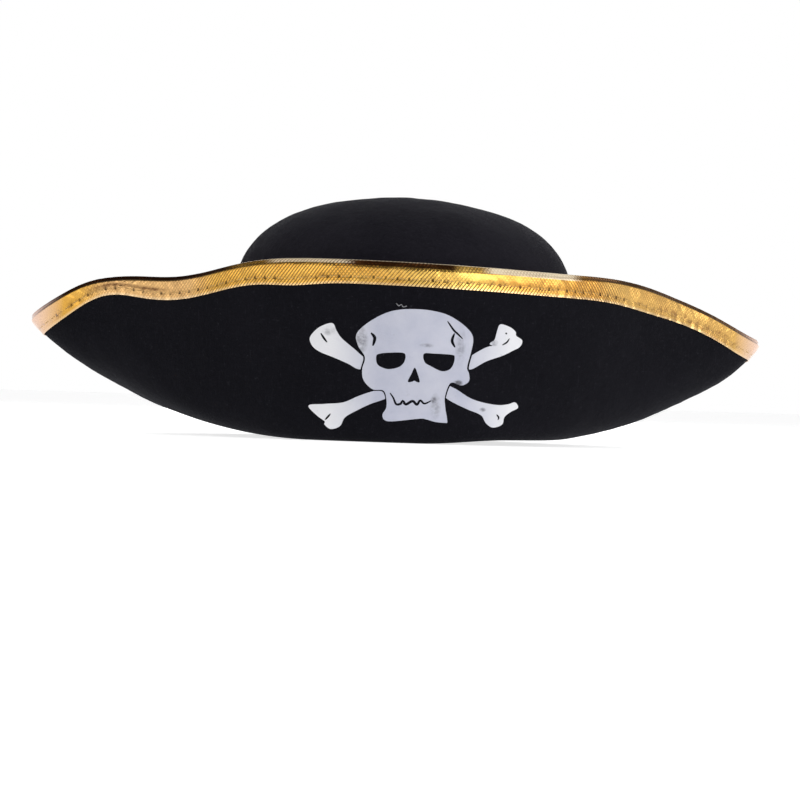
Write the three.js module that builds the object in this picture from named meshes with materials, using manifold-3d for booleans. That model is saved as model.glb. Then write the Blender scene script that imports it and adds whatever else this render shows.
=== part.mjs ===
// Pirate hat: a felt crown on a brim turned up front and back, with a bound edge and a printed motif.
// Millimetres. +X is the wearer's left, -Y the front, +Z up. The origin is under the middle of the
// crown, in the plane that the hat rests on.
import * as THREE from 'three';
import { mergeVertices } from 'three/addons/utils/BufferGeometryUtils.js';
import Module from 'manifold-3d';

const wasm = await Module();
wasm.setup();

// Driving dimensions
const FELT = 2.5; // thickness of the felt
const GAP = 0.3; // clearance between touching pieces
const OPENING = { x: 84.5, y: 101.5 }; // half axes of the head opening
const MARGIN = { x: 89, y: 106 }; // half axes of the flat margin around the opening
const CROWN = { x: 87, y: 104, top: 119.5, lean: -1.5 }; // half axes of the base, height, lean of the top
const ROUNDING = { plan: 2.2, rise: 5.5 }; // superellipse exponents of the crown's profile
const BRIM = { reach: 182, shift: -1.5, hug: 72, tip: 40 }; // plan of the brim's edge
const EDGE = { front: 82.2, back: 77, fall: 29.6, power: 4.4 }; // height of the brim's edge
const TILT = 4.5; // slope of the brim's edge, down towards the wearer's left and up on the right
const DIP = { at: 112, depth: 7.1, width: 27 }; // sag of the front edge on the wearer's right
const KINK = { at: 157, height: 0.8, width: 12 }; // small peak beyond the sag
const CREST = { at: 103, height: 1.8, width: 28 }; // rise of the front edge on the wearer's left
const POINT = { left: 5, right: 2.2, power: 20 }; // lift of the very tips
const RIPPLE = { at: 45, height: 2.5, width: 45 }; // the front margin is lifted a little on one side
const SECTION = {
  front: { reach: 1.2, pull: 62, slope: 1.6 }, // bends close to the crown, then stands up
  tip: { reach: 0.49, pull: 20, slope: 1.14 }, // rises slowly and curls at the point
  lift: { left: 0.8, right: 4.4 }, // fullness of the curl at each point
};
// The underside lifts as a parabola towards each tip
const KEEL = { left: { start: 42, rise: 0.00258 }, right: { start: 50, rise: 0.00285 } };
const TAPE = { width: 10.2, thick: 0.7, fold: 0.9, lap: 12, joint: 0.8 };
const BAND = { height: 28, thick: 0.8, gap: 0.4, lift: 0.6, lap: 14, seam: 3 };
const LABEL = { angle: 2.5, width: 30, height: 20, thick: 0.4 };
const TACK = { front: -1.665, share: 0.74, radius: 0.6 };
const STITCH_RISE = 3.3; // from the tape's lower edge to its stitching
const THREAD = 0.35; // radius of the sewing thread
const FILM = 0.4; // thickness of the printed film
const AROUND = 96; // steps around the hat
const TAU = 2 * Math.PI;

const black = { color: 0x1c1b20, roughness: 0.95, metalness: 0 };
const gold = { color: 0xc49a4c, roughness: 0.35, metalness: 0.9 };
const white = { color: 0xc6c7d2, roughness: 0.5, metalness: 0 };
const ribbon = { color: 0x141416, roughness: 0.7, metalness: 0 };
const yarn = { color: 0x2a2a2d, roughness: 0.8, metalness: 0 };
const goldYarn = { color: 0xd8b566, roughness: 0.5, metalness: 0.3 };

const { abs, sin, cos, sqrt, exp, sign, pow } = Math;
const mix = (a, b, w) => a + (b - a) * w;
const clamp = (v) => Math.min(1, Math.max(0, v));
const ease = (v) => clamp(v) ** 2 * (3 - 2 * clamp(v));
const bump = (v, at, width) => exp(-(((v - at) / width) ** 2));

const keelAt = (x) => (x > 0 ? KEEL.left : KEEL.right);

/** Height of the underside around the crown: flat in the middle, lifted towards the sides. */
function underside(x, angle) {
  const keel = keelAt(x);
  const offset = Math.min(1, abs(x - RIPPLE.at) / RIPPLE.width);
  const ripple = RIPPLE.height * cos((Math.PI / 2) * offset) ** 2 * ease(-2 * sin(angle));
  return keel.rise * Math.max(0, abs(x) - keel.start) ** 2 + ripple;
}

/** A point on an oval around the crown, lifted with the underside. */
function onOval(axes, angle, lift = 0) {
  const x = axes.x * cos(angle);
  return new THREE.Vector3(x, axes.y * sin(angle), underside(x, angle) + lift);
}

/** How far the edge is lower at a share of the way to a tip, most of it short of the tip. */
const tilt = (s) => TILT * s * (1 - 0.55 * pow(s, 10));

/** The brim's felt edge: it hugs the crown in front and behind and closes to a rounded tip. */
function brimEdge(angle) {
  const c = cos(angle);
  const s = 0.53 * c + 0.47 * c ** 5;
  const x = BRIM.reach * s + BRIM.shift * s * s;
  const hug = (BRIM.hug * (1 + cos(Math.PI * s))) / 2;
  const y = sign(sin(angle)) * (hug + BRIM.tip * sqrt(1 - s * s));
  const frontness = ease(0.5 - 1.5 * sin(angle));
  const top = mix(EDGE.back, EDGE.front, frontness);
  const fallen = top - EDGE.fall * pow(abs(s), EDGE.power) - tilt(s);
  const point = (s > 0 ? POINT.left : POINT.right) * pow(abs(s), POINT.power);
  const rise = CREST.height * bump(x, CREST.at, CREST.width) + KINK.height * bump(-x, KINK.at, KINK.width);
  const sag = DIP.depth * bump(-x, DIP.at, DIP.width);
  return new THREE.Vector3(x, y, fallen + point + frontness * (rise - sag));
}

/** One radial section of the brim: flat margin, then a curve up to the edge. */
function brimSection(angle) {
  const start = onOval(MARGIN, angle);
  const end = brimEdge(angle);
  const side = abs(end.x) / BRIM.reach;
  const across = new THREE.Vector3(end.x - start.x, end.y - start.y, 0);
  const outward = across.clone().normalize();
  const reach = mix(SECTION.front.reach, SECTION.tip.reach, side ** 3);
  const pull = mix(SECTION.front.pull, SECTION.tip.pull, side ** 2);
  const slope = mix(SECTION.front.slope, SECTION.tip.slope, side ** 6);
  const low = start.clone().addScaledVector(across, reach);
  const keel = keelAt(start.x);
  const climb = 2 * keel.rise * Math.max(0, abs(start.x) - keel.start);
  low.z = start.z + climb * abs(low.x - start.x);
  const high = end.clone().addScaledVector(outward, -pull * cos(slope));
  high.z -= pull * sin(slope);
  high.z += (end.x > 0 ? SECTION.lift.left : SECTION.lift.right) * side ** 6;
  return new THREE.CubicBezierCurve3(start, low, high, end);
}

const turn = (i, steps = AROUND) => (TAU * i) / steps - Math.PI / 2;

/** Points of the brim's underside on one section, each with its normal towards the inner side. */
const sections = new Map();
function sectionAt(angle) {
  if (!sections.has(angle)) {
    sections.set(angle, brimSection(angle));
  }
  return sections.get(angle);
}

/** A point of the brim at a share of its section's length, moved off its underside by a distance. */
function onBrim(angle, share, off, beyond = 0) {
  const NUDGE = 0.004;
  const here = sectionAt(angle);
  const at = here.getPointAt(share);
  const along = here.getTangentAt(share);
  const side = sectionAt(angle + NUDGE).getPointAt(share).sub(at);
  const normal = new THREE.Vector3().crossVectors(along, side).normalize();
  return at.addScaledVector(normal, off).addScaledVector(along, beyond);
}

/** A point near the brim's edge, at a distance down from it or, where negative, beyond it. */
function nearEdge(angle, down, off) {
  const share = 1 - Math.max(0, down) / sectionAt(angle).getLength();
  return onBrim(angle, share, off, Math.max(0, -down));
}

/** Vertices and triangles of a closed solid between two matching grids of points. */
function sheetSolid(outer, inner, ring) {
  const rows = outer.length;
  const last = outer[0].length - 1;
  const corners = [];
  const quad = (a, b, c, d) => corners.push(a, b, c, a, c, d);
  for (let i = 0; i < (ring ? rows : rows - 1); i += 1) {
    const k = (i + 1) % rows;
    for (let j = 0; j < last; j += 1) {
      quad(outer[i][j], outer[k][j], outer[k][j + 1], outer[i][j + 1]);
      quad(inner[i][j], inner[i][j + 1], inner[k][j + 1], inner[k][j]);
    }
    quad(outer[i][0], inner[i][0], inner[k][0], outer[k][0]);
    quad(outer[i][last], outer[k][last], inner[k][last], inner[i][last]);
  }
  if (!ring) {
    for (let j = 0; j < last; j += 1) {
      const end = rows - 1;
      quad(outer[0][j], outer[0][j + 1], inner[0][j + 1], inner[0][j]);
      quad(outer[end][j], inner[end][j], inner[end][j + 1], outer[end][j + 1]);
    }
  }
  return closed(corners);
}

/** The corner points of a geometry's triangles. */
function pointsOf(geometry) {
  const at = geometry.getAttribute('position');
  return Array.from({ length: at.count }, (_, i) => new THREE.Vector3().fromBufferAttribute(at, i));
}

/** A geometry of shared vertices, without collapsed triangles and with its faces pointing out. */
function closed(corners) {
  const soup = new THREE.BufferGeometry().setFromPoints(corners);
  const merged = mergeVertices(soup, 1e-4);
  const index = merged.getIndex().array;
  const at = (i) => new THREE.Vector3().fromBufferAttribute(merged.getAttribute('position'), i);
  const kept = [];
  let volume = 0;
  for (let i = 0; i < index.length; i += 3) {
    const [a, b, c] = index.slice(i, i + 3);
    if (a !== b && b !== c && c !== a) {
      kept.push(a, b, c);
      volume += at(a).dot(at(b).cross(at(c)));
    }
  }
  merged.setIndex(volume < 0 ? kept.reverse() : kept);
  return merged;
}

/** Rows of points around the hat, one for each angle, from a function of angle and share. */
const grid = (angles, shares, point) => angles.map((angle) => shares.map((share) => point(angle, share)));
const range = (count, from = 0, to = 1) =>
  Array.from({ length: count + 1 }, (_, i) => mix(from, to, i / count));
const allAround = range(AROUND - 1, 0, AROUND - 1).map((i) => turn(i));

/** Shares of a section where the brim has its rows: close at the bend, and level with the tape's folds. */
function rows(angle) {
  const tape = TAPE.width / sectionAt(angle).getLength();
  const below = range(9).map((share) => share ** 1.2 * (1 - tape));
  return [...below, 1 - tape / 2, 1];
}

const hat = new THREE.Group();
function piece(name, geometry, finish) {
  geometry.computeVertexNormals();
  const mesh = new THREE.Mesh(geometry, new THREE.MeshStandardMaterial(finish));
  mesh.name = name;
  hat.add(mesh);
}

// Brim: the flat margin and the turned-up part share one grid
function brim() {
  const side = (off) => (angle) => [
    onOval(OPENING, angle, off),
    onOval(MARGIN, angle, off),
    ...rows(angle).slice(1).map((share) => onBrim(angle, share, off)),
  ];
  piece('brim', sheetSolid(allAround.map(side(0)), allAround.map(side(FELT)), true), black);
}

/** A point of the crown at a share of its profile, inset from its outer face. */
function onCrown(angle, share, inset) {
  const base = underside(CROWN.x * cos(angle), angle) + FELT + GAP;
  const bend = (share * Math.PI) / 2;
  const wide = pow(cos(bend), 2 / ROUNDING.plan);
  const high = pow(sin(bend), 2 / ROUNDING.rise);
  const x = (CROWN.x - inset) * wide * cos(angle) + CROWN.lean * high ** 2;
  const y = (CROWN.y - inset) * wide * sin(angle);
  return new THREE.Vector3(x, y, mix(base, CROWN.top - inset, high));
}

function crown() {
  const angles = allAround.filter((_, i) => i % 2 === 0);
  const shares = [0, ...range(12, 0.02, 1)];
  const outer = grid(angles, shares, (a, s) => onCrown(a, s, 0));
  const inner = grid(angles, shares, (a, s) => onCrown(a, s, FELT));
  piece('crown', sheetSolid(outer, inner, true), black);
}

/** Height on the crown's wall, as a share of its profile. */
function crownShare(angle, z) {
  const base = onCrown(angle, 0, 0).z;
  const high = (z - base) / (CROWN.top - base);
  return (Math.asin(pow(high, ROUNDING.rise / 2)) * 2) / Math.PI;
}

const BACK = Math.PI / 2;
/** Angles from the centre back once around to it, stopping short of it at both ends. */
function aroundFromBack(clear, every = 1) {
  const whole = allAround.map((_, i) => turn(i + AROUND / 2)).filter((_, i) => i > 0 && i % every === 0);
  return [BACK + clear, ...whole, BACK + TAU - clear];
}

// Gold tape folded over the edge, its end lap and its stitching
function tapeLoop(angle, rise) {
  const folds = range(4, 0, Math.PI);
  const half = FELT / 2;
  const reach = half + GAP + rise;
  const flat = [TAPE.width, TAPE.width / 2];
  return [
    ...flat.map((down) => nearEdge(angle, down, -GAP - rise)),
    ...folds.map((a) => nearEdge(angle, -(TAPE.fold + rise) * sin(a), half - reach * cos(a))),
    ...flat.reverse().map((down) => nearEdge(angle, down, FELT + GAP + rise)),
  ];
}

function binding() {
  const angles = aroundFromBack(TAPE.joint / 2 / MARGIN.y);
  const tape = (rise) => angles.map((a) => tapeLoop(a, rise));
  piece('gold_binding', sheetSolid(tape(TAPE.thick), tape(0), false), gold);

  const reach = TAPE.lap / 2 / MARGIN.y;
  const lapped = range(2, BACK - reach, BACK + reach);
  const lap = (rise) => lapped.map((a) => tapeLoop(a, rise));
  const low = TAPE.thick + GAP;
  piece('binding_end_lap', sheetSolid(lap(low + TAPE.thick), lap(low), false), gold);

  const row = TAPE.width - STITCH_RISE;
  const start = (TAPE.lap / 2 + 2) / MARGIN.y;
  const rest = 2 * GAP + TAPE.thick;
  const strand = (off) => (a) => [nearEdge(a, row - THREAD, off), nearEdge(a, row + THREAD, off)];
  const path = aroundFromBack(start).slice(0, -1);
  const thread = sheetSolid(path.map(strand(-rest - 2 * THREAD)), path.map(strand(-rest)), false);
  piece('binding_thread', thread, goldYarn);
}

/** A ring or strip that stands inside or outside an oval, between two heights over the underside. */
function upright(angles, axes, inset, thick, low, high, ring) {
  const face = (depth) => (angle) => {
    const oval = { x: axes.x - depth, y: axes.y - depth };
    return [low, high].map((lift) => {
      const point = onOval(oval, angle);
      point.z = underside(axes.x * cos(angle), angle) + lift;
      return point;
    });
  };
  return sheetSolid(angles.map(face(inset)), angles.map(face(inset + thick)), ring);
}

// Ribbon inside the head opening, its overlap, its stitching and a blank label
function sweatband() {
  const top = BAND.lift + BAND.height;
  const strip = aroundFromBack(TAPE.joint / 2 / OPENING.y, 2);
  piece('sweatband', upright(strip, OPENING, BAND.gap, BAND.thick, BAND.lift, top, false), ribbon);

  const inside = BAND.gap + BAND.thick + GAP;
  const half = BAND.lap / 2 / OPENING.y;
  const lap = upright([BACK - half, BACK, BACK + half], OPENING, inside, BAND.thick, BAND.lift, top, false);
  piece('sweatband_lap', lap, ribbon);

  const clear = (BAND.lap / 2 + 2) / OPENING.y;
  const low = BAND.lift + BAND.seam;
  const row = upright(aroundFromBack(clear, 2), OPENING, inside, 2 * THREAD, low, low + 2 * THREAD, false);
  piece('sweatband_thread', row, yarn);

  const label = range(4, LABEL.angle, LABEL.angle + LABEL.width / OPENING.x);
  const foot = low + 2 * THREAD + 1;
  const tag = upright(label, OPENING, inside + GAP, LABEL.thick, foot, foot + LABEL.height, false);
  piece('care_label', tag, white);
}

// Overcast seam in the corner between the crown and the margin, drawn as one strand
function crownSeam() {
  const angles = allAround.filter((_, i) => i % 2 === 0);
  const low = FELT + GAP;
  const seam = upright(angles, CROWN, -GAP - 2 * THREAD, 2 * THREAD, low, low + 2 * THREAD, true);
  piece('crown_seam_thread', seam, yarn);
}

// Thread tacks that hold the flaps against the crown
function tack(name, angle) {
  const share = TACK.share;
  const flap = onBrim(angle, share, FELT + GAP);
  const wall = onCrown(angle, crownShare(angle, flap.z), -GAP);
  const along = wall.clone().sub(flap);
  const strand = new THREE.CylinderGeometry(TACK.radius, TACK.radius, along.length(), 8);
  const up = new THREE.Vector3(0, 1, 0);
  strand.applyQuaternion(new THREE.Quaternion().setFromUnitVectors(up, along.normalize()));
  strand.translate(...flap.add(wall).multiplyScalar(0.5).toArray());
  piece(name, closed(pointsOf(strand.toNonIndexed())), yarn);
}

// Outlines of the print as it looks from the front, in millimetres across and up
const OUTLINES = {
  skull: [
    [-2, 62], [-14, 61], [-23.5, 56.5], [-31, 50.5], [-30.5, 44.5], [-27.5, 39.5], [-28.5, 33.5],
    [-27, 28.5], [-22.5, 24.5], [-17.5, 24], [-16, 20], [-16, 16], [-17.5, 13], [-16.5, 10.5],
    [-12.5, 10], [-0.5, 11.5], [5, 11], [11, 10.5], [10.5, 17.5], [11, 22.5], [13.5, 28.5],
    [18.5, 27.5], [22, 29.5], [22, 33], [21, 36], [22.5, 42.5], [23.5, 48.5], [22, 52.5], [16.5, 57],
    [9, 60.5],
  ],
  right_eye: [[-21.5, 40], [-16, 41], [-10, 41.5], [-9, 39.5], [-10.5, 36], [-16, 34], [-20.5, 35.5]],
  left_eye: [[0, 41.5], [5.5, 41.5], [13.5, 41.5], [14, 38.5], [12, 35], [8.5, 34], [3, 36.5], [0.5, 39]],
  nose: [[-3.5, 35], [-2, 32], [-1, 28.5], [-2.5, 28.5], [-3.5, 29], [-4.5, 28.5], [-6.5, 28.5], [-5, 32]],
  bone_upper_left: [
    [-41.5, 54.5], [-46.5, 53], [-50, 50], [-51.5, 47], [-50, 43.5], [-46.5, 41], [-40, 38.5],
    [-34, 36], [-28.5, 33.5], [-24.5, 37], [-28, 40], [-31.5, 43], [-37, 47.5], [-39.5, 51],
  ],
  bone_upper_right: [
    [36.5, 56.5], [41, 55.5], [44, 53.5], [44.5, 51.5], [47.5, 49.5], [46.5, 46.5], [43, 44.5],
    [38, 42], [30, 39], [22.5, 35], [19.5, 38], [21.5, 40.5], [29.5, 46], [33.5, 49.5], [35, 53.5],
  ],
  bone_lower_left: [
    [-51, 16], [-44, 17], [-35.5, 18], [-29, 21], [-22.5, 23.5], [-16.5, 25], [-15.5, 21],
    [-23.5, 17.5], [-30, 14], [-34.5, 11], [-36.5, 7], [-40.5, 5.5], [-43.5, 7.5], [-43.5, 9], [-47, 11.5],
  ],
  bone_lower_right: [
    [8.5, 28.5], [15.5, 26], [22.5, 22], [29, 20], [36.5, 19], [41.5, 19.5], [45, 20.5], [46.5, 18],
    [43, 16], [40, 13.5], [39, 10], [34.5, 8.5], [31, 10.5], [28.5, 14], [22, 16.5], [16, 19],
    [11.5, 21.5], [8.5, 25],
  ],
};

/** A smooth closed curve through an outline's points. */
function smooth(name) {
  const points = OUTLINES[name].map(([x, z]) => new THREE.Vector2(x, z));
  return new THREE.SplineCurve([...points, points[0]]).getPoints(2 * points.length).slice(0, -1);
}

function toSolid(geometry) {
  const bare = closed(pointsOf(geometry.index ? geometry.toNonIndexed() : geometry));
  const vertProperties = new Float32Array(bare.getAttribute('position').array);
  const triVerts = new Uint32Array(bare.getIndex().array);
  return new wasm.Manifold(new wasm.Mesh({ numProp: 3, vertProperties, triVerts }));
}

function fromSolid(solid) {
  const { vertProperties, triVerts } = solid.getMesh();
  const geometry = new THREE.BufferGeometry();
  geometry.setAttribute('position', new THREE.BufferAttribute(vertProperties, 3));
  return geometry.setIndex(new THREE.BufferAttribute(triVerts, 1));
}

/** A prism with a printed outline, standing through the front flap. */
function punch(name, holes = []) {
  const shape = new THREE.Shape(smooth(name));
  shape.holes = holes.map((hole) => new THREE.Path(smooth(hole)));
  const prism = new THREE.ExtrudeGeometry(shape, { depth: 2 * MARGIN.y, bevelEnabled: false });
  return toSolid(prism.rotateX(Math.PI / 2));
}

// Skull and crossbones, five thin films printed on the front flap
function motif() {
  const angles = range(22, -11, 11).map((i) => turn(i));
  const layer = (off) => angles.map((a) => rows(a).map((share) => onBrim(a, share, off)));
  const sheet = toSolid(sheetSolid(layer(-GAP - FILM), layer(-GAP), false));
  const head = punch('skull');
  const [x, z] = [-4, 38];
  const room = head.translate([-x, 0, -z]).scale([1.035, 1, 1.035]).translate([x, 0, z]);
  const skull = punch('skull', ['right_eye', 'left_eye', 'nose']);
  piece('skull', fromSolid(sheet.intersect(skull)), white);
  for (const bone of ['bone_upper_left', 'bone_upper_right', 'bone_lower_left', 'bone_lower_right']) {
    piece(bone, fromSolid(sheet.intersect(punch(bone)).subtract(room)), white);
  }
}

brim();
crown();
binding();
sweatband();
crownSeam();
tack('front_tack', TACK.front);
tack('rear_tack', BACK);
motif();

// The brim's two points differ a little, so the whole is centred on its own width
const centre = new THREE.Box3().setFromObject(hat).getCenter(new THREE.Vector3());
hat.position.set(-centre.x, -centre.y, 0);

export default hat;
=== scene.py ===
import math

import bpy
import numpy as np
from mathutils import Matrix, Vector
from mathutils.bvhtree import BVHTree
from mathutils.geometry import delaunay_2d_cdt

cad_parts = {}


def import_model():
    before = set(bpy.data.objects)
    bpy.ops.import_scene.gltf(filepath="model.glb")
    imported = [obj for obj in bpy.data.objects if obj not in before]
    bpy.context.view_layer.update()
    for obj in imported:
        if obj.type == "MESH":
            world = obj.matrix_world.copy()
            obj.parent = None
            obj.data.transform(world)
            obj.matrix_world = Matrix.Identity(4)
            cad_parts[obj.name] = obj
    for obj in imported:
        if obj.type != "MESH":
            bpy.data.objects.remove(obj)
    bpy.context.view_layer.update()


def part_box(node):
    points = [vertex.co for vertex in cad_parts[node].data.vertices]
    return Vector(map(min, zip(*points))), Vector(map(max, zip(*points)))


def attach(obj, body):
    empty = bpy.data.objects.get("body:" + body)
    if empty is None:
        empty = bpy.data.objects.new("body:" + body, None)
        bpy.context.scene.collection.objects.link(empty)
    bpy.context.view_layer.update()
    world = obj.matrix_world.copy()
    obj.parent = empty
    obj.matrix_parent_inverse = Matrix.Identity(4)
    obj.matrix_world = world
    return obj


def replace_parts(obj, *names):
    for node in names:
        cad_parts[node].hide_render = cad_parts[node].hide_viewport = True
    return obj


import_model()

# Sizes in millimetres, the same as the frame's; +X is the wearer's left and -Y the front. LABEL's "at"
# is an angle, and its radius is the one its cloth layer is measured at
MM = 0.001
FELT = 2.5
OPENING = (84.5, 101.5)
MARGIN = (89.0, 106.0)
CROWN = {"x": 87.0, "y": 104.0, "top": 119.5, "lean": -1.5}
ROUNDING = {"plan": 2.2, "rise": 5.5}
BRIM = {"reach": 182.0, "shift": -1.5, "hug": 72.0, "tip": 40.0, "even": 0.53}
EDGE = {"front": 82.2, "back": 77.0, "fall": 29.6, "power": 4.4}
TILT = {"drop": 4.5, "level": 0.55}
DIP = {"at": 112.0, "height": -7.1, "width": 27.0}
KINK = {"at": 157.0, "height": 0.8, "width": 12.0}
CREST = {"at": 103.0, "height": 1.8, "width": 28.0}
POINT = {"left": 5.0, "right": 2.2, "power": 20}
RIPPLE = {"at": 45.0, "height": 2.5, "width": 45.0}
SECTION = {"reach": (1.2, 0.49), "pull": (62.0, 20.0), "slope": (1.6, 1.14), "lift": (0.8, 4.4)}
KEEL = {"start": (42.0, 50.0), "rise": (0.00258, 0.00285)}
TAPE = {"width": 10.2, "over": 4.6, "row": 3.3, "fold": 0.75, "lift": 0.15, "thick": 0.4, "lap": 0.32}
BAND = {"height": 28.0, "gap": 0.4, "thick": 0.7, "lift": 0.6, "seam": 3.0}
PARE = {"reach": 0.8, "front": 1.6, "at": -5, "width": 60, "share": 0.95}
LABEL = {"width": 30, "height": 20, "at": 2.5, "radius": 85}
SECTION_STEPS = 120
# Soft dents of the pressed felt: their heights and wavelengths, added up
BRIM_DENTS = [(0.40, 46), (0.14, 15), (0.04, 4.5)]
CROWN_DENTS = [(0.45, 60), (0.15, 17), (0.04, 5)]
# The mean radius of the head opening, for lengths along the sweatband
ROUND = 93
# Distance between the binding's needle holes
PITCH = 5.5
ROW = TAPE["row"]
# The tape is creased along its length where the brim kinks, and painted shade darkens its colour there:
# middle and half length, and place across
CREASE = {"along": (-136, 14), "at": 4.9}
# The tape's seam layer holds the distance from the nearer selvedge or, near the fold, FOLD less the
# distance down from it, running on to FOLD + 2 over the crest
FOLD = 20.0
# Angles around the hat
FRONT, BACK = -math.pi / 2, math.pi / 2
TAU = 2 * math.pi

# Colours of the felt's pale hairs and lint, of the painted shade on its downward faces, and of the gold tape
PALE_HAIR = (0.030, 0.029, 0.038)
LINT = (0.055, 0.055, 0.065)
PAINTED_UNDERSIDE_SHADE = (0.001, 0.001, 0.0014)
GOLD = ((0.68, 0.37, 0.075), (0.84, 0.52, 0.125))
# Distance between the lines cut into the tape
CUT_PITCH = 1.8
# Families of those lines: slant, where they are deepest across the hat, and how far up the tape they go
CUTS = [(0.8, 78, 96, 99), (-0.8, -100, 4, 99), (-0.8, -14, 60, 3.7)]
# Painted dark reflections along the front of the fold: from and to across the hat, depth below it, strength
# and colour
FOLD_PAINTED_SHADE = [
    (-200, -90, 0.3, 1.0, (0.06, 0.02, 0.006)),
    (-34, 14, 1.1, 0.95, (0.085, 0.026, 0.008)),
    (86, 176, 0.5, 0.85, (0.24, 0.12, 0.06)),
]
# Painted highlights along the front of the fold: from and to across the hat, depth below it and strength
FOLD_PAINTED_HIGHLIGHTS = [(-66, -36, 0.4, 0.85), (34, 74, 1.5, 1.0)]

# The formulas centre the crown; the frame centres the whole hat
tape_low, tape_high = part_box("gold_binding")
SHIFT = (
    (tape_low.x + tape_high.x) / 2 / MM - BRIM["shift"],
    (tape_low.y + tape_high.y) / 2 / MM,
)


# --- Shape of the hat ---

def mix(a, b, w):
    return a + (b - a) * w


def ease(v):
    v = np.clip(v, 0, 1)
    return v * v * (3 - 2 * v)


def bump(v, at, width):
    return np.exp(-(((v - at) / width) ** 2))


def hump(x, place):
    return place["height"] * bump(x, place["at"], place["width"])


def stack(*parts):
    return np.stack(np.broadcast_arrays(*parts), axis=-1)


WAVES = np.random.default_rng(7).normal(size=(3, 24, 3))
PHASES = np.random.default_rng(8).uniform(0, TAU, size=(3, 24))


def undulation(points, wavelength, layer=0):
    """A smooth random field, about -1 to 1, with about the wavelength asked for, in millimetres."""
    waves = WAVES[layer] * (TAU / wavelength / math.sqrt(3))
    return np.sin(points @ waves.T + PHASES[layer]).sum(axis=-1) / 6


def dents(points, kinds):
    return sum(height * undulation(points, size, layer) for layer, (height, size) in enumerate(kinds))


def keel(x):
    """How far a place is past the flat middle of the underside, and how steeply its side rises."""
    start, rise = (np.where(x > 0, *KEEL[key]) for key in ("start", "rise"))
    return np.maximum(0, np.abs(x) - start), rise


def underside(x, angle):
    """Height of the underside around the crown: flat in the middle, lifted towards the sides."""
    past, rise = keel(x)
    offset = np.minimum(1, np.abs(x - RIPPLE["at"]) / RIPPLE["width"])
    ripple = RIPPLE["height"] * np.cos(math.pi / 2 * offset) ** 2 * ease(-2 * np.sin(angle))
    return rise * past**2 + ripple


def on_oval(axes, angle, lift=0.0):
    x = axes[0] * np.cos(angle)
    return stack(x, axes[1] * np.sin(angle), underside(x, angle) + lift)


def brim_edge(angle):
    """The brim's felt edge: it hugs the crown in front and behind and closes to a rounded tip."""
    c = np.cos(angle)
    s = BRIM["even"] * c + (1 - BRIM["even"]) * c**5
    x = BRIM["reach"] * s + BRIM["shift"] * s * s
    hug = BRIM["hug"] * (1 + np.cos(math.pi * s)) / 2
    y = np.sign(np.sin(angle)) * (hug + BRIM["tip"] * np.sqrt(np.maximum(0, 1 - s * s)))
    frontness = ease(0.5 - 1.5 * np.sin(angle))
    tilt = TILT["drop"] * s * (1 - TILT["level"] * s**10)
    height = mix(EDGE["back"], EDGE["front"], frontness) - EDGE["fall"] * np.abs(s) ** EDGE["power"] - tilt
    point = np.where(s > 0, POINT["left"], POINT["right"]) * np.abs(s) ** POINT["power"]
    rise = hump(x, CREST) + hump(-x, KINK) + hump(-x, DIP)
    return stack(x, y, height + point + frontness * rise)


def controls(angle):
    """The four Bezier points of the brim's sections."""
    start, end = on_oval(MARGIN, angle), brim_edge(angle)
    side = np.abs(end[..., 0]) / BRIM["reach"]
    across = end - start
    across[..., 2] = 0
    outward = across / np.linalg.norm(across, axis=-1, keepdims=True)
    pull = mix(*SECTION["pull"], side**2)
    slope = mix(*SECTION["slope"], side**6)
    low = start + across * mix(*SECTION["reach"], side**3)[..., None]
    past, rise = keel(start[..., 0])
    climb = 2 * rise * past
    low[..., 2] = start[..., 2] + climb * np.abs(low[..., 0] - start[..., 0])
    high = end - outward * (pull * np.cos(slope))[..., None]
    high[..., 2] += np.where(end[..., 0] > 0, *SECTION["lift"]) * side**6 - pull * np.sin(slope)
    return start, low, high, end


def bezier(points, t):
    a, b, c, d = (p[:, None, :] for p in points)
    t = t[..., None]
    u = 1 - t
    return u**3 * a + 3 * u * u * t * b + 3 * u * t * t * c + t**3 * d


def section_points(angle, share):
    """Points and lengths of the sections at angles (n) and shares (n, m) of their length."""
    points = controls(angle)
    fine = np.linspace(0, 1, SECTION_STEPS)
    line = bezier(points, np.broadcast_to(fine, (len(angle), SECTION_STEPS)))
    steps = np.linalg.norm(np.diff(line, axis=1), axis=-1)
    length = np.concatenate([np.zeros((len(angle), 1)), np.cumsum(steps, axis=1)], axis=1)
    total = length[:, -1]
    t = np.stack([np.interp(s * n, l, fine) for s, n, l in zip(share, total, length)])
    return bezier(points, t), total


def unit(v):
    return v / np.maximum(np.linalg.norm(v, axis=-1, keepdims=True), 1e-12)


def brim_frame(angle, share):
    """Points of the brim's underside, the direction up each section and the inward normal."""
    nudge = 0.004
    low, high = np.maximum(share - nudge, 0), np.minimum(share + nudge, 1)
    at, total = section_points(angle, share)
    along = unit(section_points(angle, high)[0] - section_points(angle, low)[0])
    side = section_points(angle + nudge, share)[0] - section_points(angle - nudge, share)[0]
    return at, along, unit(np.cross(along, side)), total


def skin(angle, share):
    """The brim's underside as pressed felt has it: never quite even, apart from the sewn margin."""
    at, along, normal, total = brim_frame(angle, share)
    return at + normal * (dents(at, BRIM_DENTS) * ease(share * 4))[..., None], along, normal, total


def near_edge(angle, down, off):
    """Points at a distance down from the brim's edge (negative beyond it) and off its underside."""
    total = section_points(angle, np.ones((len(angle), 1)))[1]
    down = np.broadcast_to(down, (len(angle), np.shape(down)[-1]))
    at, along, normal, _ = skin(angle, 1 - np.maximum(0, down) / total[:, None])
    return at + along * np.maximum(0, -down)[..., None] + normal * np.asarray(off)[..., None]


def pared(angle, down):
    """How much each face of the felt is pared away near its edge, so that the tape folds to a crest."""
    reach = PARE["reach"] + PARE["front"] * bump(brim_edge(angle)[:, :1], PARE["at"], PARE["width"])
    return PARE["share"] * np.clip(1 - np.maximum(0, down) / reach, 0, 1)


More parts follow.
